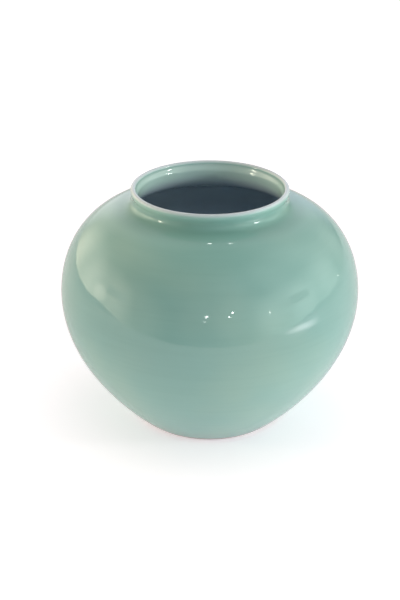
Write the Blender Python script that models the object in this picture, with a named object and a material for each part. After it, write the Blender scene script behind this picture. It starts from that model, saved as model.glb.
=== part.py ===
"""Celadon porcelain vase: a round jar with a low collar and a rounded lip.

The paste is made in four thrown sections (foot ring, lower body, upper body and neck collar), and it
carries four coats of glaze (outside, over the lip, inside and under the base). Every section and coat is
a turned solid about the Z axis. The vase stands on z = 0, and all sizes are in metres.

Outline points are (radius, height) pairs. The outer face is given from the foot up to the lip, and the
inner face from the lip down to the floor.
"""

import math

import bmesh
import bpy
from mathutils import Vector

# Body
BELLY_RADIUS = 0.1150
BELLY_HEIGHT = 0.1030
WALL = 0.0050
LOWER_HANDLE = 0.0268           # how long the wall runs nearly upright below the belly
UPPER_HANDLE = 0.0301           # and above it

# Foot
FOOT_RADIUS = 0.0575
FOOT_SLOPE = 44.0               # degrees, the cone on which the body leaves the foot
FOOT_JOINT = Vector((0.0638, 0.0060))
FOOT_HANDLE = 0.0536
GLAZE_LINE_HEIGHT = 0.0030      # below it the foot ring is bare
STANDING_EDGE_INNER = 0.0512
STANDING_EDGE_OUTER = 0.0567
STANDING_CHAMFER = 0.0007
RECESS_RADIUS = 0.0504
RECESS_GLAZE_LIMIT = 0.0020     # height where the base glaze stops on the ring's inner face

# Shoulder and collar
SHOULDER_EDGE = Vector((0.0710, 0.1702))
SHOULDER_SLOPE = 18.0           # degrees
SHOULDER_HANDLE = 0.0300
WAIST = Vector((0.0581, 0.1791))
WAIST_INNER_RADIUS = 0.0541
FILLET_HANDLE = 0.0055          # of the hollow between shoulder and collar, at the shoulder
COLLAR_ROOT_HANDLE = 0.0060     # and at the waist
ROOT_WALL = 0.0088              # the wall is thicker where the collar is luted on
INNER_FILLET_HANDLE = 0.0090
LIP_OUTER = Vector((0.0597, 0.1847))
LIP_CREST = Vector((0.0575, 0.1870))
LIP_INNER = Vector((0.0558, 0.1846))
LIP_HANDLE = 0.0022

# Floor
FLOOR_HEIGHT = 0.0130
FLOOR_RADIUS = 0.0380
FLOOR_HANDLE = 0.0400

# Glaze, and the gap kept between pieces that touch
GLAZE = 0.0006
GAP = 0.0003

SEGMENTS = 48
SHARP_ANGLE = 35.0              # degrees; flatter edges are shaded smooth
MERGE_DISTANCE = 1e-6
LOWER_STEPS = 8
UPPER_STEPS = 8
FILLET_STEPS = 4
FLARE_STEPS = 2
LIP_STEPS = 3

PASTE_COLOUR = (0.74, 0.73, 0.70, 1.0)
BARE_FOOT_COLOUR = (0.60, 0.57, 0.53, 1.0)
CELADON_COLOUR = (0.22, 0.44, 0.37, 1.0)
INNER_CELADON_COLOUR = (0.17, 0.36, 0.31, 1.0)
PALE_GLAZE_COLOUR = (0.62, 0.70, 0.72, 1.0)
BASE_GLAZE_COLOUR = (0.26, 0.46, 0.39, 1.0)
PASTE_ROUGHNESS = 0.60
GLAZE_ROUGHNESS = 0.06


def heading(degrees, length):
    """A vector in the (radius, height) plane, its angle counted up from the outward direction."""
    angle = math.radians(degrees)
    return Vector((math.cos(angle), math.sin(angle))) * length


def curve(start, leaving, arriving, end, steps):
    """Points of a cubic curve. The leaving and arriving vectors point along it, as long as its handles."""
    first = start + leaving
    second = end - arriving
    points = []
    for index in range(steps + 1):
        t = index / steps
        s = 1.0 - t
        points.append(s**3 * start + 3 * s * s * t * first + 3 * s * t * t * second + t**3 * end)
    return points


def quarter_round(start, end, corner, steps):
    """Points of a quarter ellipse from start to end that bulges towards corner."""
    centre = start + end - corner
    points = []
    for index in range(steps + 1):
        angle = math.radians(90.0 * index / steps)
        points.append(centre + (start - centre) * math.cos(angle) + (end - centre) * math.sin(angle))
    return points


def sunk(points, depth):
    """The same run of points, moved by depth into the wall, to the left of its direction."""
    moved = []
    for index, point in enumerate(points):
        before = points[max(index - 1, 0)]
        after = points[min(index + 1, len(points) - 1)]
        along = (after - before).normalized()
        moved.append(point + Vector((-along.y, along.x)) * depth)
    return moved


def cut_short(points, start=0.0, end=0.0):
    """The same run of points with its two ends pulled in along it."""
    shorter = list(points)
    shorter[0] = points[0] + (points[1] - points[0]).normalized() * start
    shorter[-1] = points[-1] + (points[-2] - points[-1]).normalized() * end
    return shorter


def glaze_line():
    """The point on the foot's cone where the outer glaze stops."""
    cone = FOOT_JOINT - Vector((FOOT_RADIUS, 0.0))
    return FOOT_JOINT - cone * (FOOT_JOINT.y - GLAZE_LINE_HEIGHT) / cone.y


def face_stretches():
    """The glazed face in stretches, from the glaze line up the outside, over the lip and down inside."""
    belly = Vector((BELLY_RADIUS, BELLY_HEIGHT))
    inner_belly = Vector((BELLY_RADIUS - WALL, BELLY_HEIGHT))
    inner_waist = Vector((WAIST_INNER_RADIUS, WAIST.y))
    inner_shoulder_edge = SHOULDER_EDGE + heading(-90.0 - SHOULDER_SLOPE, ROOT_WALL)
    up_the_shoulder = 180.0 - SHOULDER_SLOPE
    lip_outer_corner = Vector((LIP_OUTER.x, LIP_CREST.y))
    lip_inner_corner = Vector((LIP_INNER.x, LIP_CREST.y))
    return {
        "foot": [glaze_line(), FOOT_JOINT],
        "lower_outside": curve(FOOT_JOINT, heading(FOOT_SLOPE, FOOT_HANDLE),
                               heading(90.0, LOWER_HANDLE), belly, LOWER_STEPS),
        "upper_outside": curve(belly, heading(90.0, UPPER_HANDLE),
                               heading(up_the_shoulder, SHOULDER_HANDLE), SHOULDER_EDGE, UPPER_STEPS),
        "fillet": curve(SHOULDER_EDGE, heading(up_the_shoulder, FILLET_HANDLE),
                        heading(90.0, COLLAR_ROOT_HANDLE), WAIST, FILLET_STEPS),
        "flare": curve(WAIST, heading(90.0, LIP_HANDLE),
                       heading(90.0, LIP_HANDLE), LIP_OUTER, FLARE_STEPS),
        "lip_outside": quarter_round(LIP_OUTER, LIP_CREST, lip_outer_corner, LIP_STEPS),
        "lip_inside": quarter_round(LIP_CREST, LIP_INNER, lip_inner_corner, LIP_STEPS),
        "throat": curve(LIP_INNER, heading(-90.0, LIP_HANDLE),
                        heading(-90.0, LIP_HANDLE), inner_waist, FLARE_STEPS),
        "inner_fillet": curve(inner_waist, heading(-90.0, INNER_FILLET_HANDLE),
                              heading(-SHOULDER_SLOPE, INNER_FILLET_HANDLE), inner_shoulder_edge,
                              FILLET_STEPS),
        "upper_inside": curve(inner_shoulder_edge, heading(-SHOULDER_SLOPE, SHOULDER_HANDLE - WALL / 2),
                              heading(-90.0, UPPER_HANDLE - WALL / 2), inner_belly, UPPER_STEPS),
        "lower_inside": curve(inner_belly, heading(-90.0, LOWER_HANDLE + WALL),
                              heading(180.0, FLOOR_HANDLE), Vector((FLOOR_RADIUS, FLOOR_HEIGHT)),
                              LOWER_STEPS),
        "floor": [Vector((FLOOR_RADIUS, FLOOR_HEIGHT)), Vector((0.0, FLOOR_HEIGHT))],
    }


def layer(depth, first, last):
    """The face's points from the start of stretch first to the end of stretch last, depth into the wall."""
    run = []
    starts = {}
    ends = {}
    for name, points in face_stretches().items():
        starts[name] = max(len(run) - 1, 0)
        run += points if not run else points[1:]
        ends[name] = len(run)
    return sunk(run, depth)[starts[first]:ends[last]]


def porcelain(name, colour, roughness):
    """A plain material for one sub-part."""
    material = bpy.data.materials.new(name)
    material.use_nodes = True
    shader = material.node_tree.nodes["Principled BSDF"]
    shader.inputs["Base Color"].default_value = colour
    shader.inputs["Roughness"].default_value = roughness
    shader.inputs["Metallic"].default_value = 0.0
    material.diffuse_color = colour
    return material


def turned(name, outline, colour, roughness):
    """A named solid turned about Z from its outline, a loop of points that may run along the axis."""
    shape = bmesh.new()
    verts = [shape.verts.new((point.x, 0.0, point.y)) for point in outline]
    sides = zip(verts, verts[1:] + verts[:1])
    edges = [shape.edges.new(side) for side in sides if side[0].co.x > 0.0 or side[1].co.x > 0.0]
    bmesh.ops.spin(shape, geom=verts + edges, cent=(0.0, 0.0, 0.0), axis=(0.0, 0.0, 1.0),
                   angle=math.tau, steps=SEGMENTS, use_merge=True)
    bmesh.ops.remove_doubles(shape, verts=shape.verts, dist=MERGE_DISTANCE)
    bmesh.ops.recalc_face_normals(shape, faces=shape.faces)
    mesh = bpy.data.meshes.new(name)
    shape.to_mesh(mesh)
    shape.free()
    mesh.shade_smooth()
    mesh.set_sharp_from_angle(angle=math.radians(SHARP_ANGLE))
    mesh.materials.append(porcelain(name, colour, roughness))
    piece = bpy.data.objects.new(name, mesh)
    bpy.context.collection.objects.link(piece)
    return piece


def foot_ring():
    """The standing ring: a flat edge with two small chamfers, and a step where the glaze begins."""
    cone = [Vector((FOOT_RADIUS, 0.0)), glaze_line()]
    climb = (cone[1] - cone[0]).normalized()
    bare_start, bare_end = sunk(cone, GLAZE)
    glazed_start, glazed_end = layer(GLAZE + GAP, "foot", "foot")
    outline = [
        Vector((RECESS_RADIUS, FOOT_JOINT.y)),
        Vector((RECESS_RADIUS, STANDING_CHAMFER)),
        Vector((STANDING_EDGE_INNER, 0.0)),
        Vector((STANDING_EDGE_OUTER, 0.0)),
        bare_start + climb * (STANDING_CHAMFER - bare_start.y) / climb.y,
        bare_end - climb * GAP,
        glazed_start - climb * GAP,
        glazed_end + climb * (FOOT_JOINT.y - glazed_end.y) / climb.y,
    ]
    return turned("foot_ring", outline, BARE_FOOT_COLOUR, PASTE_ROUGHNESS)


def lower_body():
    """The bowl: a flat underside on the foot ring, the lower wall and the floor."""
    outside = cut_short(layer(GLAZE + GAP, "lower_outside", "lower_outside"), end=GAP / 2)
    inside = cut_short(layer(GLAZE + GAP, "lower_inside", "floor"), start=GAP / 2)
    underside = FOOT_JOINT.y + GAP
    climb = (outside[1] - outside[0]).normalized()
    outside[0] = outside[0] + climb * (underside - outside[0].y) / climb.y
    outline = [Vector((0.0, underside))] + outside + inside
    return turned("lower_body", outline, PASTE_COLOUR, PASTE_ROUGHNESS)


def upper_body():
    """The dome between the belly joint and the collar joint."""
    outside = cut_short(layer(GLAZE + GAP, "upper_outside", "upper_outside"), start=GAP / 2, end=GAP / 2)
    inside = cut_short(layer(GLAZE + GAP, "upper_inside", "upper_inside"), start=GAP / 2, end=GAP / 2)
    return turned("upper_body", outside + inside, PASTE_COLOUR, PASTE_ROUGHNESS)


def neck_collar():
    """The collar: the fillet off the shoulder, the upright waist and the thickened lip."""
    outline = cut_short(layer(GLAZE + GAP, "fillet", "inner_fillet"), start=GAP / 2, end=GAP / 2)
    return turned("neck_collar", outline, PASTE_COLOUR, PASTE_ROUGHNESS)


def glaze_coat(name, first, last, start, end, colour):
    """A coat of glaze over some stretches of the face, pulled in by start and end at its two edges."""
    face = cut_short(layer(0.0, first, last), start, end)
    back = cut_short(layer(GLAZE, first, last), start, end)
    return turned(name, face + back[::-1], colour, GLAZE_ROUGHNESS)


def outer_glaze():
    return glaze_coat("outer_glaze", "foot", "flare", 0.0, GAP / 2, CELADON_COLOUR)


def lip_glaze():
    return glaze_coat("lip_glaze", "lip_outside", "lip_inside", GAP / 2, GAP / 2, PALE_GLAZE_COLOUR)


def inner_glaze():
    return glaze_coat("inner_glaze", "throat", "floor", GAP / 2, 0.0, INNER_CELADON_COLOUR)


def base_glaze():
    """A shallow cap of glaze in the recess, with a skirt down the ring's inner face."""
    top = FOOT_JOINT.y
    skirt = RECESS_RADIUS - GAP
    outline = [
        Vector((0.0, top - GLAZE)),
        Vector((skirt - 2 * GLAZE, top - GLAZE)),
        Vector((skirt - GLAZE, top - 2 * GLAZE)),
        Vector((skirt - GLAZE, RECESS_GLAZE_LIMIT)),
        Vector((skirt, RECESS_GLAZE_LIMIT)),
        Vector((skirt, top)),
        Vector((0.0, top)),
    ]
    return turned("base_glaze", outline, BASE_GLAZE_COLOUR, GLAZE_ROUGHNESS)


def main():
    for item in list(bpy.data.objects):
        bpy.data.objects.remove(item, do_unlink=True)
    foot_ring()
    lower_body()
    upper_body()
    neck_collar()
    outer_glaze()
    lip_glaze()
    inner_glaze()
    base_glaze()


main()
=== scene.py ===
"""Looks of the celadon porcelain vase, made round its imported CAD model.

Every coat of glaze and every section of paste is turned again here from the same outline, finely enough to
carry the throwing marks, and stands for its CAD node. Metres, +Z up, the vase on z = 0.
"""

import math

import bpy
import bmesh
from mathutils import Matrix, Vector, noise


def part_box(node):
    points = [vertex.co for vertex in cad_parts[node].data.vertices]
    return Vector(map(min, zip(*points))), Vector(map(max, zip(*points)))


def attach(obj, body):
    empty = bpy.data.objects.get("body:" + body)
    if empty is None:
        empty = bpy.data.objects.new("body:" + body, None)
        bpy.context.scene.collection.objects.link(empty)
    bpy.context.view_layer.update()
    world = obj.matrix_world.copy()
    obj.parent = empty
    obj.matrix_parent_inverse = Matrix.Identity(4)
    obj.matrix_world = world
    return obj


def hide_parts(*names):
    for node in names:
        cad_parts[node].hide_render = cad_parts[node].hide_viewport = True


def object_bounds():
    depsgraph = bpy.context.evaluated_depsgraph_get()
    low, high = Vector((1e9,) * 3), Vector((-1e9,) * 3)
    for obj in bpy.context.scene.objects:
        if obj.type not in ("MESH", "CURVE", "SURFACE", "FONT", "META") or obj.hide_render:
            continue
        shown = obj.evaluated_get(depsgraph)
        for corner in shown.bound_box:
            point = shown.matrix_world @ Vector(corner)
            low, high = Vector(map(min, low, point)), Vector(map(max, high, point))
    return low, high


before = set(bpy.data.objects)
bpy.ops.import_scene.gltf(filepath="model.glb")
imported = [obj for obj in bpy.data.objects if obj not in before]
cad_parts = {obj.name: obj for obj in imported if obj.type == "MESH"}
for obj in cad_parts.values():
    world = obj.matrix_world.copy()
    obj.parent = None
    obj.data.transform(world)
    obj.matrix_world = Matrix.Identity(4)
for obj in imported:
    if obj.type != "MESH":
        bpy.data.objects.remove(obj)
cad_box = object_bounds()

# ---------------------------------------------------------------- sizes, from the frame and the outline

GLAZE = 0.0006
GAP = 0.0003

BELLY = Vector((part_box("outer_glaze")[1].x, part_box("lower_body")[1].z + GAP / 2))
WALL = 0.0050
LOWER_HANDLE = 0.0268           # how long the wall runs nearly upright below the belly
UPPER_HANDLE = 0.0301           # and above it

FOOT_RADIUS = 0.0575
FOOT_SLOPE = 44.0               # degrees, the cone on which the body leaves the foot
FOOT_JOINT = Vector((0.0638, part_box("foot_ring")[1].z))
FOOT_HANDLE = 0.0536
GLAZE_LINE_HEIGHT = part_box("outer_glaze")[0].z  # below it the foot ring is bare
STANDING_EDGE_INNER = 0.0512
STANDING_EDGE_OUTER = 0.0567
STANDING_ROUND = 0.0009
RECESS_RADIUS = 0.0504

SHOULDER_EDGE = Vector((0.0710, 0.1702))
SHOULDER_SLOPE = 18.0           # degrees
SHOULDER_HANDLE = 0.0300
WAIST = Vector((0.0581, 0.1791))
WAIST_INNER_RADIUS = 0.0541
FILLET_HANDLE = 0.0055          # of the hollow between shoulder and collar, at the shoulder
COLLAR_ROOT_HANDLE = 0.0060     # and at the waist
ROOT_WALL = 0.0088              # the wall is thicker where the collar is luted on
INNER_FILLET_HANDLE = 0.0090
LIP_OUTER = Vector((0.0597, 0.1847))
LIP_CREST = Vector((0.0575, cad_box[1].z))
LIP_INNER = Vector((0.0558, 0.1846))
LIP_HANDLE = 0.0022

FLOOR_HEIGHT = 0.0130
FLOOR_RADIUS = 0.0380
FLOOR_HANDLE = 0.0400

SEGMENTS = 180
FACE_STEP = 0.0008              # spacing of the outline's points on the outside
FINE_STEP = 0.00025             # round the lip
LINER_STEP = 0.0012             # inside the jar
BACK_STEP = 0.0040              # on the hidden back of a glaze
PASTE_STEP = 0.0050             # on the hidden paste
FEWEST_STEPS = 4                # in any curve
QUARTER_ARC = 1.1               # length of a quarter round over the distance between its ends
EDGE_HOLD = 0.00004             # a narrow ring at each edge of a coat: its shading meets the next one's
SHARP_ANGLE = 40.0              # degrees; flatter edges are shaded smooth
ON_AXIS = 0.000001              # a point nearer the axis than this is one vertex, not a ring

# ---------------------------------------------------------------- outline


def heading(degrees, length):
    """A vector in the (radius, height) plane, its angle counted up from the outward direction."""
    angle = math.radians(degrees)
    return Vector((math.cos(angle), math.sin(angle))) * length


def curve(start, leaving, arriving, end, step):
    """Points about step apart on a cubic curve whose handles are the leaving and arriving vectors."""
    steps = max(round((end - start).length / step), FEWEST_STEPS)
    first = start + leaving
    second = end - arriving
    points = []
    for index in range(steps + 1):
        t = index / steps
        s = 1.0 - t
        points.append(s**3 * start + 3 * s * s * t * first + 3 * s * t * t * second + t**3 * end)
    return points


def quarter_round(start, end, corner, step):
    """Points about step apart on a quarter ellipse from start to end that bulges towards corner."""
    steps = max(round(QUARTER_ARC * (end - start).length / step), FEWEST_STEPS)
    centre = start + end - corner
    points = []
    for index in range(steps + 1):
        angle = math.radians(90.0 * index / steps)
        points.append(centre + (start - centre) * math.cos(angle) + (end - centre) * math.sin(angle))
    return points


def straight(start, end, step):
    """Points about step apart on a straight line."""
    steps = max(round((end - start).length / step), 1)
    return [start.lerp(end, index / steps) for index in range(steps + 1)]


def sunk(points, depth):
    """The same run of points, moved by depth into the wall, to the left of its direction."""
    moved = []
    for index, point in enumerate(points):
        before = points[max(index - 1, 0)]
        after = points[min(index + 1, len(points) - 1)]
        along = (after - before).normalized()
        moved.append(point + Vector((-along.y, along.x)) * depth)
    return moved


def cut_short(points, start=0.0, end=0.0):
    """The same run of points with its two ends pulled in along it."""
    shorter = list(points)
    shorter[0] = points[0] + (points[1] - points[0]).normalized() * start
    shorter[-1] = points[-1] + (points[-2] - points[-1]).normalized() * end
    return shorter


def glaze_line():
    """The point on the foot's cone where the outer glaze stops."""
    cone = FOOT_JOINT - Vector((FOOT_RADIUS, 0.0))
    return FOOT_JOINT - cone * (FOOT_JOINT.y - GLAZE_LINE_HEIGHT) / cone.y


def face_stretches(step):
    """The glazed face in stretches, from the glaze line up the outside, over the lip and down inside."""
    fine = min(step, FINE_STEP)
    inner_belly = BELLY - Vector((WALL, 0.0))
    inner_waist = Vector((WAIST_INNER_RADIUS, WAIST.y))
    inner_shoulder_edge = SHOULDER_EDGE + heading(-90.0 - SHOULDER_SLOPE, ROOT_WALL)
    up_the_shoulder = 180.0 - SHOULDER_SLOPE
    floor_edge = Vector((FLOOR_RADIUS, FLOOR_HEIGHT))
    return {
        "foot": straight(glaze_line(), FOOT_JOINT, step),
        "lower_outside": curve(FOOT_JOINT, heading(FOOT_SLOPE, FOOT_HANDLE),
                               heading(90.0, LOWER_HANDLE), BELLY, step),
        "upper_outside": curve(BELLY, heading(90.0, UPPER_HANDLE),
                               heading(up_the_shoulder, SHOULDER_HANDLE), SHOULDER_EDGE, step),
        "fillet": curve(SHOULDER_EDGE, heading(up_the_shoulder, FILLET_HANDLE),
                        heading(90.0, COLLAR_ROOT_HANDLE), WAIST, fine * 2),
        "flare": curve(WAIST, heading(90.0, LIP_HANDLE),
                       heading(90.0, LIP_HANDLE), LIP_OUTER, fine),
        "lip_outside": quarter_round(LIP_OUTER, LIP_CREST, Vector((LIP_OUTER.x, LIP_CREST.y)), fine),
        "lip_inside": quarter_round(LIP_CREST, LIP_INNER, Vector((LIP_INNER.x, LIP_CREST.y)), fine),
        "throat": curve(LIP_INNER, heading(-90.0, LIP_HANDLE),
                        heading(-90.0, LIP_HANDLE), inner_waist, fine),
        "inner_fillet": curve(inner_waist, heading(-90.0, INNER_FILLET_HANDLE),
                              heading(-SHOULDER_SLOPE, INNER_FILLET_HANDLE), inner_shoulder_edge,
                              fine * 2),
        "upper_inside": curve(inner_shoulder_edge, heading(-SHOULDER_SLOPE, SHOULDER_HANDLE - WALL / 2),
                              heading(-90.0, UPPER_HANDLE - WALL / 2), inner_belly, step),
        "lower_inside": curve(inner_belly, heading(-90.0, LOWER_HANDLE + WALL),
                              heading(180.0, FLOOR_HANDLE), floor_edge, step),
        "floor": straight(floor_edge, Vector((0.0, FLOOR_HEIGHT)), step),
    }


def layer(depth, first, last, step):
    """The face's points from the start of stretch first to the end of stretch last, depth into the wall."""
    run = []
    starts = {}
    ends = {}
    for name, points in face_stretches(step).items():
        starts[name] = max(len(run) - 1, 0)
        run += points if not run else points[1:]
        ends[name] = len(run)
    return sunk(run, depth)[starts[first]:ends[last]]


# ---------------------------------------------------------------- turned meshes

RING_DEPTH = 0.000006           # throwing marks, half their height from hollow to crest
RING_PITCH = 0.0047
RING_SHARE = 0.6                # the marks' usual share of that depth
RING_VARIATION = 0.8            # and how much it varies from place to place
VARIATION_RATE = 90.0           # how fast it varies up the wall
VARIATION_ROUND = 0.6           # and round it
WOBBLE = 0.00012                # how far the body is out of round
WOBBLE_TWIST = 9.0              # radians that the oval turns between the table and the belly
MARKS_START = 0.0040            # height where the marks begin
MARKS_FADE = 0.0200             # height over which they come in, and go out below the shoulder's edge


def part_way(value, whole):
    """How far the value has come towards the whole, between 0 and 1."""
    return max(0.0, min(1.0, value / whole))


def thrown(point, angle):
    """The radius of a turned point after throwing: one long spiral of marks, and a slow wobble."""
    radius, height = point
    spiral = math.sin(math.tau * (height / RING_PITCH + angle / math.tau))
    across = math.cos(angle) * VARIATION_ROUND
    along = math.sin(angle) * VARIATION_ROUND
    uneven = noise.noise(Vector((height * VARIATION_RATE, across, along)))
    wobble = math.cos(2.0 * angle + WOBBLE_TWIST * height / BELLY.y)
    body = part_way(SHOULDER_EDGE.y - height, MARKS_FADE) * part_way(height - MARKS_START, MARKS_FADE)
    rings = RING_DEPTH * spiral * (RING_SHARE + RING_VARIATION * uneven)
    away = body * (rings + WOBBLE * 0.5 * (wobble - 1.0))
    return radius + away


def turned(name, outline, marks=False):
    """A named solid turned about Z from its outline, a loop of points that may run along the axis."""
    shape = bmesh.new()
    rings = []
    for point in outline:
        if point.x < ON_AXIS:
            rings.append([shape.verts.new((0.0, 0.0, point.y))])
            continue
        ring = []
        for index in range(SEGMENTS):
            angle = math.tau * index / SEGMENTS
            radius = thrown(point, angle) if marks else point.x
            ring.append(shape.verts.new((radius * math.cos(angle), radius * math.sin(angle), point.y)))
        rings.append(ring)
    for lower, upper in zip(rings, rings[1:] + rings[:1]):
        if len(lower) == 1 and len(upper) == 1:
            continue
        for index in range(SEGMENTS):
            after = (index + 1) % SEGMENTS
            if len(lower) == 1:
                corners = (lower[0], upper[after], upper[index])
            elif len(upper) == 1:
                corners = (lower[index], lower[after], upper[0])
            else:
                corners = (lower[index], lower[after], upper[after], upper[index])
            shape.faces.new(corners)
    bmesh.ops.recalc_face_normals(shape, faces=shape.faces)
    mesh = bpy.data.meshes.new(name)
    shape.to_mesh(mesh)
    shape.free()
    mesh.shade_smooth()
    mesh.set_sharp_from_angle(angle=math.radians(SHARP_ANGLE))
    piece = bpy.data.objects.new(name, mesh)
    bpy.context.collection.objects.link(piece)
    return piece


def finish_piece(piece, node, material):
    """The piece takes its material and its slot, and stands for its CAD node."""
    piece.data.materials.append(material)
    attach(piece, "root")
    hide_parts(node)


def held_edges(points):
    """The same run of points with one more point close to each end."""
    start = points[0] + (points[1] - points[0]).normalized() * EDGE_HOLD
    end = points[-1] + (points[-2] - points[-1]).normalized() * EDGE_HOLD
    return [points[0], start] + points[1:-1] + [end, points[-1]]


ROLL_STEPS = 6


def build_outer_glaze(material):
    """The outside coat. It ends above the foot in a rounded roll of glaze."""
    face = layer(0.0, "foot", "flare", FACE_STEP)
    back = layer(GLAZE, "foot", "flare", BACK_STEP)
    slope = (face[1] - face[0]).normalized()
    middle = (face[0] + back[0]) / 2
    across = (back[0] - face[0]) / 2
    bulge = slope * GLAZE * 0.5
    roll = []
    for index in range(1, ROLL_STEPS):
        angle = math.pi * index / ROLL_STEPS
        roll.append(middle - across * math.cos(angle) + bulge * (1 - math.sin(angle)))
    face[0] = face[0] + bulge
    back[0] = back[0] + bulge
    outline = held_edges(face) + back[::-1] + roll[::-1]
    piece = turned("celadon_outer_coat", outline, marks=True)
    finish_piece(piece, "outer_glaze", material)


def build_lip_glaze(material):
    """The thin run of glaze over the lip."""
    face = held_edges(layer(0.0, "lip_outside", "lip_inside", FACE_STEP))
    back = layer(GLAZE, "lip_outside", "lip_inside", BACK_STEP)
    piece = turned("celadon_lip", face + back[::-1], marks=True)
    finish_piece(piece, "lip_glaze", material)


def build_inner_glaze(material):
    """The inside coat, from the lip down to the middle of the floor."""
    face = held_edges(layer(0.0, "throat", "floor", LINER_STEP))
    back = layer(GLAZE, "throat", "floor", BACK_STEP)
    back[-1] = Vector((0.0, back[-1].y))
    face[-1] = Vector((0.0, face[-1].y))
    piece = turned("celadon_liner", face + back[::-1], marks=True)
    finish_piece(piece, "inner_glaze", material)


CEILING_STEPS = 90
CORNER_RADIUS = 0.0022          # between the recess's ceiling and its wall
CORNER_STEP = 0.0003
TURNING_DEPTH = 0.00006
TURNING_PITCH = 0.0062          # of every second mark
TURNING_START = 0.0100          # radius at which the marks have come to their full depth


def build_base_glaze(material):
    """A shallow cap of glaze in the recess, with a soft corner, low turning marks and a skirt."""
    top = FOOT_JOINT.y
    skirt = RECESS_RADIUS - GAP
    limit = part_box("base_glaze")[0].z
    ceiling = top - GLAZE
    wall = skirt - GLAZE
    outline = []
    for index in range(CEILING_STEPS + 1):
        radius = (wall - CORNER_RADIUS) * index / CEILING_STEPS
        wave = math.sin(math.tau * radius / TURNING_PITCH)
        mark = TURNING_DEPTH * wave * part_way(radius, TURNING_START)
        outline.append(Vector((radius, ceiling - abs(mark))))
    outline[-1] = Vector((wall - CORNER_RADIUS, ceiling))
    outline += quarter_round(outline[-1], Vector((wall, ceiling - CORNER_RADIUS)),
                             Vector((wall, ceiling)), CORNER_STEP)[1:]
    outline += [
        Vector((wall, limit + GLAZE / 2)),
        Vector((wall + GLAZE / 4, limit)),
        Vector((skirt - GLAZE / 4, limit)),
        Vector((skirt, limit + GLAZE / 2)),
        Vector((skirt, top)),
        Vector((0.0, top)),
    ]
    piece = turned("celadon_base", outline)
    finish_piece(piece, "base_glaze", material)


SPONGED_STEP = 0.0002
SPONGED_HANDLES = (0.0003, 0.0004)  # of the outer edge's curve, on the standing face and on the side
BARE_STEP = 0.0004


def build_foot_ring(material):
    """The bare standing ring, its two edges softened by the sponge."""
    cone = [Vector((FOOT_RADIUS, 0.0)), glaze_line()]
    climb = (cone[1] - cone[0]).normalized()
    bare_start, bare_end = sunk(cone, GLAZE)
    under_glaze = layer(GLAZE + GAP, "foot", "foot", BACK_STEP)
    face_low = bare_start + climb * (STANDING_ROUND - bare_start.y) / climb.y
    inner_corner = Vector((RECESS_RADIUS, 0.0))
    outline = [Vector((RECESS_RADIUS, FOOT_JOINT.y))]
    outline += quarter_round(Vector((RECESS_RADIUS, STANDING_ROUND)), Vector((STANDING_EDGE_INNER, 0.0)),
                             inner_corner, SPONGED_STEP)
    outline += curve(Vector((STANDING_EDGE_OUTER, 0.0)), Vector((SPONGED_HANDLES[0], 0.0)),
                     climb * SPONGED_HANDLES[1], face_low, SPONGED_STEP)
    outline += straight(face_low, bare_end + climb * GAP, BARE_STEP)[1:]
    outline += [under_glaze[0] + climb * GAP,
                under_glaze[-1] + climb * (FOOT_JOINT.y - under_glaze[-1].y) / climb.y]
    piece = turned("bare_foot", outline)
    finish_piece(piece, "foot_ring", material)


def build_paste(material):
    """The three sections of paste under the glaze."""
    depth = GLAZE + GAP
    outside = cut_short(layer(depth, "lower_outside", "lower_outside", PASTE_STEP), end=GAP / 2)
    inside = cut_short(layer(depth, "lower_inside", "floor", PASTE_STEP), start=GAP / 2)
    underside = FOOT_JOINT.y + GAP
    climb = (outside[1] - outside[0]).normalized()
    outside[0] = outside[0] + climb * (underside - outside[0].y) / climb.y
    inside[-1] = Vector((0.0, inside[-1].y))
    lower = [Vector((0.0, underside))] + outside + inside
    finish_piece(turned("paste_lower_bowl", lower), "lower_body", material)
    upper = (cut_short(layer(depth, "upper_outside", "upper_outside", PASTE_STEP), GAP / 2, GAP / 2)
             + cut_short(layer(depth, "upper_inside", "upper_inside", PASTE_STEP), GAP / 2, GAP / 2))
    finish_piece(turned("paste_upper_dome", upper), "upper_body", material)
    collar = cut_short(layer(depth, "fillet", "inner_fillet", PASTE_STEP), GAP / 2, GAP / 2)
    finish_piece(turned("paste_collar", collar), "neck_collar", material)


# ---------------------------------------------------------------- materials

CELADON = (0.328, 0.580, 0.535)
CELADON_POOLED = (0.200, 0.400, 0.350)
CELADON_WARM = (0.460, 0.650, 0.540)
# the inside glaze's colour in the collar, made paler as painted light on the lit inner wall
LINER = (0.520, 0.700, 0.670)
LINER_DEEP = (0.490, 0.580, 0.650)
# a pale blue painted light low in the jar: the floor lit from the mouth, and its reflection in the wall
LINER_PAINTED_LIGHT = (0.680, 0.780, 0.890)
# PALE: thin glaze over the lip and worn glaze at the foot; over the lip it is also a painted highlight along
# the crest
PALE = (0.760, 0.810, 0.860)
PASTE = (0.620, 0.600, 0.570)
PASTE_GREY = (0.500, 0.470, 0.440)
DARK_EDGE = (0.330, 0.295, 0.275)

# How much of a colour there is up the vase: (height, share) stops.
# Over the lip the pale share is partly thinner glaze and partly a painted highlight along the crest.
THIN_GLAZE_AND_HIGHLIGHT_OVER_LIP = ((0.1846, 0.0), (0.1858, 0.55), (0.1866, 0.95))
POOL_UNDER_COLLAR = ((0.1680, 0.0), (0.1740, 0.8), (0.1780, 0.7), (0.1835, 0.0))
WORN_AT_FOOT = ((0.0030, 0.55), (0.0046, 0.12), (0.0065, 0.0))
DEPTH_OF_JAR = ((0.1660, 1.0), (0.1780, 0.0))
# heights of the pale blue painted light low in the jar
PAINTED_LIGHT_LOW_IN_JAR = ((0.1160, 1.0), (0.1380, 0.0))
DARK_AT_GLAZE_LINE = ((0.0012, 0.0), (0.0028, 0.5), (0.0034, 0.6))

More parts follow.
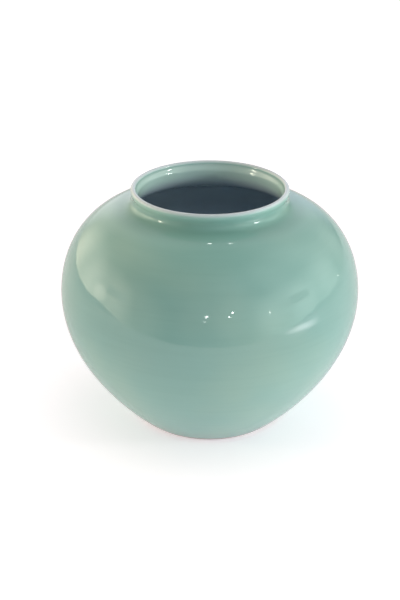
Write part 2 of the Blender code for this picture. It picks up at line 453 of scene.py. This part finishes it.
CLOUD_SCALE = 11.0              # scales of noise in waves a metre
SMEAR_SCALE = 60.0
RIPPLE_SCALE = 160.0
PATCH_SCALE = 28.0
GRAIN_SCALE = 2600.0
STREAK_STRETCH = (14.0, 14.0, 260.0)
RIPPLE_HEIGHT = 0.00002
GRAIN_HEIGHT = 0.00004
GLAZE_IOR = 1.52
GLAZE_COAT = 0.25               # a second gloss, sharper than the glaze's own
GLAZE_COAT_ROUGHNESS = 0.03


class Nodes:
    """A few short calls for building one material's node tree."""

    def __init__(self, name):
        self.material = bpy.data.materials.new(name)
        self.material.use_nodes = True
        self.tree = self.material.node_tree
        self.shader = self.tree.nodes["Principled BSDF"]
        self.place = self.tree.nodes.new("ShaderNodeTexCoord").outputs["Object"]
        axes = self.tree.nodes.new("ShaderNodeSeparateXYZ")
        self.tree.links.new(self.place, axes.inputs[0])
        self.height = axes.outputs["Z"]

    def noise(self, scale, detail=2.0, stretch=None):
        """Noise between 0 and 1, its place scaled along the axes first if a stretch is given."""
        node = self.tree.nodes.new("ShaderNodeTexNoise")
        node.inputs["Scale"].default_value = scale
        node.inputs["Detail"].default_value = detail
        place = self.place
        if stretch:
            mapping = self.tree.nodes.new("ShaderNodeMapping")
            mapping.inputs["Scale"].default_value = stretch
            self.tree.links.new(place, mapping.inputs["Vector"])
            place = mapping.outputs["Vector"]
        self.tree.links.new(place, node.inputs["Vector"])
        return node.outputs["Fac"]

    def ramp(self, value, *stops):
        """A value mapped through (position, result) stops, eased between them."""
        node = self.tree.nodes.new("ShaderNodeValToRGB")
        low, high = stops[0][0], stops[-1][0]
        spread = self.tree.nodes.new("ShaderNodeMapRange")
        spread.inputs["From Min"].default_value = low
        spread.inputs["From Max"].default_value = high
        self.tree.links.new(value, spread.inputs["Value"])
        self.tree.links.new(spread.outputs["Result"], node.inputs["Fac"])
        node.color_ramp.interpolation = "EASE"
        elements = node.color_ramp.elements
        while len(elements) < len(stops):
            elements.new(0.5)
        for element, (position, result) in zip(elements, stops):
            element.position = (position - low) / (high - low)
            element.color = (result, result, result, 1.0)
        return node.outputs["Color"]

    def fade(self, centre, start, end, near, far):
        """A value that goes smoothly from near to far between two distances from the centre."""
        away = self.tree.nodes.new("ShaderNodeVectorMath")
        away.operation = "DISTANCE"
        away.inputs[1].default_value = centre
        self.tree.links.new(self.place, away.inputs[0])
        node = self.tree.nodes.new("ShaderNodeMapRange")
        node.interpolation_type = "SMOOTHSTEP"
        for socket, value in (("From Min", start), ("From Max", end), ("To Min", near), ("To Max", far)):
            node.inputs[socket].default_value = value
        self.tree.links.new(away.outputs["Value"], node.inputs["Value"])
        return node.outputs["Result"]

    def combined(self, operation, first, second):
        """The sum or the product of two values, each a number or an output."""
        node = self.tree.nodes.new("ShaderNodeMath")
        node.operation = operation
        for socket, value in zip(node.inputs, (first, second)):
            if isinstance(value, float):
                socket.default_value = value
            else:
                self.tree.links.new(value, socket)
        return node.outputs["Value"]

    def times(self, first, second):
        """The product of two values."""
        return self.combined("MULTIPLY", first, second)

    def plus(self, first, second):
        """The sum of two values."""
        return self.combined("ADD", first, second)

    def mix(self, share, first, second):
        """A colour between first and second. Each is a colour or another mix."""
        node = self.tree.nodes.new("ShaderNodeMix")
        node.data_type = "RGBA"
        self.tree.links.new(share, node.inputs["Factor"])
        for socket, colour in (("A", first), ("B", second)):
            target = [entry for entry in node.inputs if entry.name == socket and entry.type == "RGBA"][0]
            if isinstance(colour, tuple):
                target.default_value = (*colour, 1.0)
            else:
                self.tree.links.new(colour, target)
        return [entry for entry in node.outputs if entry.type == "RGBA"][0]

    def bump(self, height, distance):
        """Relief of the given height, in metres, from a value between 0 and 1."""
        node = self.tree.nodes.new("ShaderNodeBump")
        node.inputs["Distance"].default_value = distance
        self.tree.links.new(height, node.inputs["Height"])
        self.tree.links.new(node.outputs["Normal"], self.shader.inputs["Normal"])

    def colour(self, result):
        """The finished colour, given to the shader."""
        self.tree.links.new(result, self.shader.inputs["Base Color"])

    def roughness(self, value, *stops):
        """Roughness from a value mapped through (position, roughness) stops."""
        self.tree.links.new(self.ramp(value, *stops), self.shader.inputs["Roughness"])


def glazed(name, body):
    """The nodes of a glaze, and its colour: clouded with a warmer green, faintly streaked round the jar."""
    nodes = Nodes(name)
    clouds = nodes.ramp(nodes.noise(CLOUD_SCALE), (0.40, 0.0), (0.75, 0.45))
    streaks = nodes.ramp(nodes.noise(1.0, 3.0, STREAK_STRETCH), (0.42, 0.0), (0.80, 0.08))
    return nodes, nodes.mix(streaks, nodes.mix(clouds, body, CELADON_WARM), CELADON_POOLED)


def finish_glaze(nodes, colour):
    """The glaze runs thin and pale over the lip, with a painted highlight along its crest, and is glossy all
    over.
    """
    nodes.colour(nodes.mix(nodes.ramp(nodes.height, *THIN_GLAZE_AND_HIGHLIGHT_OVER_LIP), colour, PALE))
    nodes.roughness(nodes.noise(SMEAR_SCALE, 3.0), (0.3, 0.035), (0.7, 0.075))
    nodes.bump(nodes.noise(RIPPLE_SCALE), RIPPLE_HEIGHT)
    nodes.shader.inputs["IOR"].default_value = GLAZE_IOR
    nodes.shader.inputs["Coat Weight"].default_value = GLAZE_COAT
    nodes.shader.inputs["Coat Roughness"].default_value = GLAZE_COAT_ROUGHNESS
    return nodes.material


def outside_celadon():
    """The outside glaze pools in the hollow under the collar and is worn pale along the foot."""
    nodes, colour = glazed("celadon_glaze", CELADON)
    colour = nodes.mix(nodes.ramp(nodes.height, *POOL_UNDER_COLLAR), colour, CELADON_POOLED)
    colour = nodes.mix(nodes.ramp(nodes.height, *WORN_AT_FOOT), colour, PALE)
    return finish_glaze(nodes, colour)


def liner_celadon():
    """The inside glaze is thin and pale in the collar, paler still as painted light on the lit inner wall,
    and bluer in the depth of the jar; lower down it turns pale blue, a painted light for the jar's floor lit
    from the mouth and its reflection in the wall.
    """
    nodes, colour = glazed("celadon_liner_glaze", LINER)
    colour = nodes.mix(nodes.ramp(nodes.height, *DEPTH_OF_JAR), colour, LINER_DEEP)
    # pale blue painted light low in the jar
    colour = nodes.mix(nodes.ramp(nodes.height, *PAINTED_LIGHT_LOW_IN_JAR), colour, LINER_PAINTED_LIGHT)
    return finish_glaze(nodes, colour)


def bare_porcelain():
    """Unglazed paste: matt, finely sandy, darker in patches where the glaze stops."""
    nodes = Nodes("bare_porcelain")
    grain = nodes.noise(GRAIN_SCALE, 3.0)
    colour = nodes.mix(nodes.ramp(grain, (0.35, 0.0), (0.65, 0.5)), PASTE, PASTE_GREY)
    line = nodes.ramp(nodes.height, *DARK_AT_GLAZE_LINE)
    patches = nodes.times(line, nodes.ramp(nodes.noise(PATCH_SCALE), (0.35, 0.15), (0.65, 1.0)))
    nodes.colour(nodes.mix(patches, colour, DARK_EDGE))
    nodes.roughness(grain, (0.3, 0.62), (0.7, 0.80))
    nodes.bump(grain, GRAIN_HEIGHT)
    return nodes.material


# ---------------------------------------------------------------- set, lights and camera

WHITE = (1.0, 1.0, 1.0)
TABLE_FRONT = 0.455             # the white table ends this far in front of the vase's axis
TABLE_REACH = 6.0
TABLE_SPOT = (0.56, -0.27, 0.0)  # a soft pool of light on the table, to the right of the camera
TABLE_SPOT_REACH = 0.20
TABLE_SPOT_GLOW = 4.5
TABLE_WHITES = ((0.95, 0.89, 0.94), (0.94, 0.88, 0.93))
TABLE_GLOW = 0.12
TABLE_GLOW_COLOUR = (1.0, 0.955, 1.0, 1.0)
# Less is added near the vase than far from it: a painted shadow round the foot.
RETOUCH_NEAR = 0.23             # added for the camera only, as a catalogue picture is cleaned to white
RETOUCH_FAR = 0.42
RETOUCH_START = 0.07            # distances from the vase's axis between which the cleaning grows
RETOUCH_END = 0.155


def staged_plane(name, corners, material):
    """A flat sheet of the set, which isn't part of the vase."""
    shape = bmesh.new()
    shape.faces.new([shape.verts.new(corner) for corner in corners])
    mesh = bpy.data.meshes.new(name)
    shape.to_mesh(mesh)
    shape.free()
    mesh.materials.append(material)
    sheet = bpy.data.objects.new(name, mesh)
    bpy.context.collection.objects.link(sheet)
    return sheet


def table():
    """A plain white table top that the camera sees brighter than the vase does, less bright near the foot as
    a painted shadow, with a painted pool of light to the right.
    """
    nodes = Nodes("table_white")
    nodes.colour(nodes.mix(nodes.noise(3.0), *TABLE_WHITES))
    nodes.shader.inputs["Roughness"].default_value = 0.9
    nodes.shader.inputs["Specular IOR Level"].default_value = 0.0
    nodes.shader.inputs["Emission Color"].default_value = TABLE_GLOW_COLOUR
    seen = nodes.tree.nodes.new("ShaderNodeLightPath").outputs["Is Camera Ray"]
    # less glow near the vase paints a shadow round the foot
    cleaned = nodes.times(seen, nodes.fade((0.0, 0.0, 0.0), RETOUCH_START, RETOUCH_END,
                                           RETOUCH_NEAR, RETOUCH_FAR))
    spot = nodes.fade(TABLE_SPOT, 0.0, TABLE_SPOT_REACH, TABLE_SPOT_GLOW, 0.0)
    glow = nodes.plus(nodes.plus(cleaned, spot), TABLE_GLOW)
    nodes.tree.links.new(glow, nodes.shader.inputs["Emission Strength"])
    corners = [(-TABLE_REACH, -TABLE_FRONT, 0.0), (TABLE_REACH, -TABLE_FRONT, 0.0),
               (TABLE_REACH, TABLE_REACH, 0.0), (-TABLE_REACH, TABLE_REACH, 0.0)]
    staged_plane("table", corners, nodes.material)


def direction(azimuth, elevation):
    """A unit vector away from the vase. Azimuth 0 is the camera's side, positive to its right."""
    turn = math.radians(azimuth)
    rise = math.radians(elevation)
    return Vector((math.sin(turn) * math.cos(rise), -math.cos(turn) * math.cos(rise), math.sin(rise)))


def lamp(name, azimuth, elevation, distance, width, height, radiance, colour=WHITE):
    """A rectangular lamp of the given radiance that faces the middle of the belly."""
    light = bpy.data.lights.new(name, "AREA")
    light.shape = "RECTANGLE"
    light.size = width
    light.size_y = height
    light.energy = radiance * math.pi * width * height
    light.color = colour
    holder = bpy.data.objects.new(name, light)
    towards = direction(azimuth, elevation)
    holder.location = Vector((0.0, 0.0, BELLY.y)) + towards * distance
    holder.rotation_euler = towards.to_track_quat("Z", "Y").to_euler()
    holder.visible_camera = False
    bpy.context.collection.objects.link(holder)


WARM = (1.0, 0.92, 0.74)
NEUTRAL = (1.0, 0.95, 0.85)
MINT = (0.91, 1.0, 0.92)
BLUE = (0.68, 0.76, 1.0)
LAVENDER = (0.80, 0.84, 1.0)

# The studio round the vase as soft patches of light: azimuth, elevation, reach in degrees, radiance, colour.
PATCHES = [
    (180.0, 5.0, 34.0, 0.90, LAVENDER),
    (180.0, 38.0, 40.0, 0.40, LAVENDER),
    (-150.0, 5.0, 34.0, 0.60, WARM),
    (-120.0, 5.0, 34.0, 1.60, WARM),
    (-90.0, 5.0, 34.0, 1.70, WARM),
    (-60.0, 5.0, 34.0, 0.65, WARM),
    (-135.0, 38.0, 40.0, 0.40, WARM),
    (-90.0, 38.0, 40.0, 0.35, WARM),
    (0.0, 5.0, 34.0, 0.18, BLUE),
    (0.0, 38.0, 40.0, 0.22, BLUE),
    (30.0, 5.0, 34.0, 0.48, MINT),
    (60.0, 5.0, 34.0, 1.40, MINT),
    (90.0, 5.0, 34.0, 1.20, MINT),
    (45.0, 38.0, 40.0, 0.45, MINT),
    (90.0, 38.0, 40.0, 0.75, MINT),
    (120.0, 5.0, 34.0, 0.50, NEUTRAL),
    (150.0, 5.0, 34.0, 0.12, NEUTRAL),
    (135.0, 38.0, 40.0, 0.50, NEUTRAL),
    (0.0, 90.0, 40.0, 0.05, NEUTRAL),
    (-92.0, 6.0, 9.0, 1.6, WARM),
]


def room():
    """The world: plain white for the camera, and the soft patches of light for everything else."""
    world = bpy.data.worlds.new("studio")
    bpy.context.scene.world = world
    world.use_nodes = True
    tree = world.node_tree
    tree.nodes.clear()
    view = tree.nodes.new("ShaderNodeTexCoord").outputs["Generated"]
    total = None
    for azimuth, elevation, reach, radiance, colour in PATCHES:
        near = tree.nodes.new("ShaderNodeVectorMath")
        near.operation = "DOT_PRODUCT"
        near.inputs[1].default_value = direction(azimuth, elevation)
        tree.links.new(view, near.inputs[0])
        soft = tree.nodes.new("ShaderNodeMapRange")
        soft.interpolation_type = "SMOOTHSTEP"
        soft.inputs["From Min"].default_value = math.cos(math.radians(reach))
        soft.inputs["From Max"].default_value = 1.0
        soft.inputs["To Max"].default_value = radiance
        tree.links.new(near.outputs["Value"], soft.inputs["Value"])
        patch = tree.nodes.new("ShaderNodeBackground")
        patch.inputs["Color"].default_value = (*colour, 1.0)
        tree.links.new(soft.outputs["Result"], patch.inputs["Strength"])
        if total is None:
            total = patch.outputs[0]
            continue
        both = tree.nodes.new("ShaderNodeAddShader")
        tree.links.new(total, both.inputs[0])
        tree.links.new(patch.outputs[0], both.inputs[1])
        total = both.outputs[0]
    white = tree.nodes.new("ShaderNodeBackground")
    white.inputs["Color"].default_value = (*WHITE, 1.0)
    seen = tree.nodes.new("ShaderNodeLightPath").outputs["Is Camera Ray"]
    mix = tree.nodes.new("ShaderNodeMixShader")
    tree.links.new(seen, mix.inputs["Fac"])
    tree.links.new(total, mix.inputs[1])
    tree.links.new(white.outputs[0], mix.inputs[2])
    output = tree.nodes.new("ShaderNodeOutputWorld")
    tree.links.new(mix.outputs[0], output.inputs["Surface"])


LAMP_DISTANCE = 1.2
LAMP_WIDTH = 0.20
LAMP_HEIGHT = 0.085
SCREEN_DISTANCE = 0.45
SCREEN_WIDTH = 0.14
SCREEN_GREYS = ((0.50, 0.50, 0.50), (0.55, 0.55, 0.55))
SPOT_DISTANCE = 1.8
SPOT_SIZE = 0.034

# The ceiling spots: azimuth, elevation, radiance.
SPOTS = [(-2.2, 14.9, 45.0), (-4.1, 10.0, 22.0), (16.4, 18.3, 45.0), (13.9, 14.3, 28.0), (44.3, 11.7, 28.0),
         (179.8, 62.0, 18.0), (166.5, 61.0, 10.0), (114.4, 2.2, 12.0)]


def screen(name, azimuth, low, high, colour, radiance):
    """A small glowing screen that hides a side lamp from the belly but not from the collar above it."""
    middle = direction(azimuth, 0.0) * SCREEN_DISTANCE
    across = direction(azimuth + 90.0, 0.0) * SCREEN_WIDTH / 2
    nodes = Nodes(name)
    nodes.colour(nodes.mix(nodes.noise(8.0), *SCREEN_GREYS))
    nodes.shader.inputs["Emission Color"].default_value = (*colour, 1.0)
    nodes.shader.inputs["Emission Strength"].default_value = radiance
    feet = (middle - across, middle + across)
    corners = [(feet[0].x, feet[0].y, low), (feet[1].x, feet[1].y, low),
               (feet[1].x, feet[1].y, high), (feet[0].x, feet[0].y, high)]
    staged_plane(name, corners, nodes.material).visible_camera = False


def lights():
    """Two side lamps that glint on the collar, and the ceiling spots that dot the glaze."""
    lamp("left_lamp", -73.9, 17.3, LAMP_DISTANCE, LAMP_WIDTH, LAMP_HEIGHT, 38.0, WARM)
    lamp("right_lamp", 69.6, 16.2, LAMP_DISTANCE, LAMP_WIDTH, LAMP_HEIGHT, 42.0)
    screen("left_screen", -68.5, 0.205, 0.268, WARM, 0.9)
    screen("right_screen", 64.5, 0.200, 0.262, MINT, 0.8)
    for azimuth, elevation, radiance in SPOTS:
        lamp("ceiling_spot", azimuth, elevation, SPOT_DISTANCE, SPOT_SIZE, SPOT_SIZE, radiance)


CAMERA_DISTANCE = 1.0
CAMERA_ELEVATION = 25.57
CAMERA_LENS = 76.8
CAMERA_SENSOR = 36.0
CAMERA_SIDE = -0.0075           # the vase stands a little right of the middle of the picture
CAMERA_AIM = 0.0922


def camera():
    """The camera, in front of the vase and above it."""
    data = bpy.data.cameras.new("camera")
    data.lens = CAMERA_LENS
    data.sensor_width = CAMERA_SENSOR
    view = bpy.data.objects.new("camera", data)
    rise = math.radians(CAMERA_ELEVATION)
    aim = Vector((CAMERA_SIDE, 0.0, CAMERA_AIM))
    back = Vector((0.0, -math.cos(rise), math.sin(rise)))
    view.location = aim + back * CAMERA_DISTANCE
    view.rotation_euler = back.to_track_quat("Z", "Y").to_euler()
    bpy.context.collection.objects.link(view)
    bpy.context.scene.camera = view


bpy.context.scene.view_settings.view_transform = "Standard"

camera()
room()
table()
lights()

glaze = outside_celadon()
liner = liner_celadon()
bare = bare_porcelain()
build_outer_glaze(glaze)
build_lip_glaze(glaze)
build_inner_glaze(liner)
build_base_glaze(glaze)
build_foot_ring(bare)
build_paste(bare)
